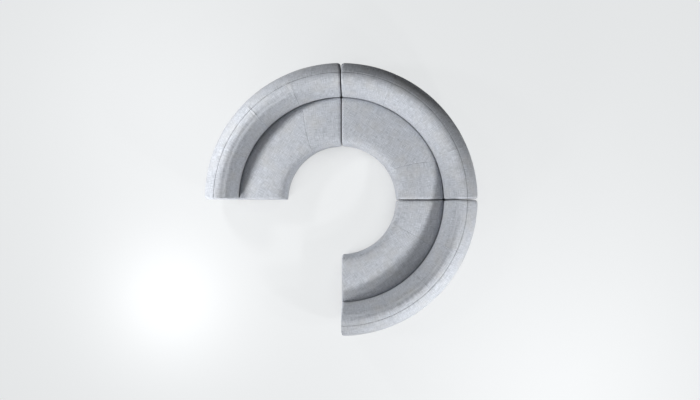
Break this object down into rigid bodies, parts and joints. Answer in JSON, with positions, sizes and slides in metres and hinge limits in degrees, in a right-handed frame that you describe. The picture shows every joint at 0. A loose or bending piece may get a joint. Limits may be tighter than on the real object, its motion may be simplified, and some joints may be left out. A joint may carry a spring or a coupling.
{
  "type": "curved modular sofa",
  "caption": "Low curved sofa of quarter-ring modules that link into a three-quarter ring, with a deep seat and a rolled back.",
  "frame": {"origin": "centre of the ring, on the floor", "axes": "+Z up; +X is right and +Y is up in the picture, so the open quarter of the ring faces -X and -Y"},
  "size_m": [3.0446, 3.0446, 0.75],
  "materials": {
    "wool": "matte",
    "foam": "matte",
    "plywood": "satin",
    "fibre_shell": "matte",
    "nylon": "satin",
    "zinc_steel": "satin"
  },
  "bodies": {
    "left_module": {"left_seat_cover": "wool", "left_back_cover": "wool", "left_seat_foam": "foam", "left_back_foam": "foam", "left_outer_shell": "fibre_shell", "left_back_board": "plywood", "left_top_rail": "plywood", "left_seat_deck": "plywood", "left_front_rail": "plywood", "left_bottom_panel": "plywood", "left_rib_1": "plywood", "left_rib_2": "plywood", "left_rib_3": "plywood", "left_rib_4": "plywood", "left_glide_1": "nylon", "left_glide_2": "nylon", "left_glide_3": "nylon", "left_glide_4": "nylon", "left_link_hook": "zinc_steel"},
    "middle_module": {"middle_seat_cover": "wool", "middle_back_cover": "wool", "middle_seat_foam": "foam", "middle_back_foam": "foam", "middle_outer_shell": "fibre_shell", "middle_back_board": "plywood", "middle_top_rail": "plywood", "middle_seat_deck": "plywood", "middle_front_rail": "plywood", "middle_bottom_panel": "plywood", "middle_rib_1": "plywood", "middle_rib_2": "plywood", "middle_rib_3": "plywood", "middle_rib_4": "plywood", "middle_glide_1": "nylon", "middle_glide_2": "nylon", "middle_glide_3": "nylon", "middle_glide_4": "nylon", "middle_link_socket_left": "zinc_steel", "middle_link_socket_right": "zinc_steel"},
    "right_module": {"right_seat_cover": "wool", "right_back_cover": "wool", "right_seat_foam": "foam", "right_back_foam": "foam", "right_outer_shell": "fibre_shell", "right_back_board": "plywood", "right_top_rail": "plywood", "right_seat_deck": "plywood", "right_front_rail": "plywood", "right_bottom_panel": "plywood", "right_rib_1": "plywood", "right_rib_2": "plywood", "right_rib_3": "plywood", "right_rib_4": "plywood", "right_glide_1": "nylon", "right_glide_2": "nylon", "right_glide_3": "nylon", "right_glide_4": "nylon", "right_link_hook": "zinc_steel"}
  },
  "joints": [
    {"name": "left_module_lift", "type": "slide", "parent": "middle_module", "child": "left_module", "axis": [0, 0, 1], "range_m": [0, 0.06]},
    {"name": "right_module_lift", "type": "slide", "parent": "middle_module", "child": "right_module", "axis": [0, 0, 1], "range_m": [0, 0.06]}
  ]
}
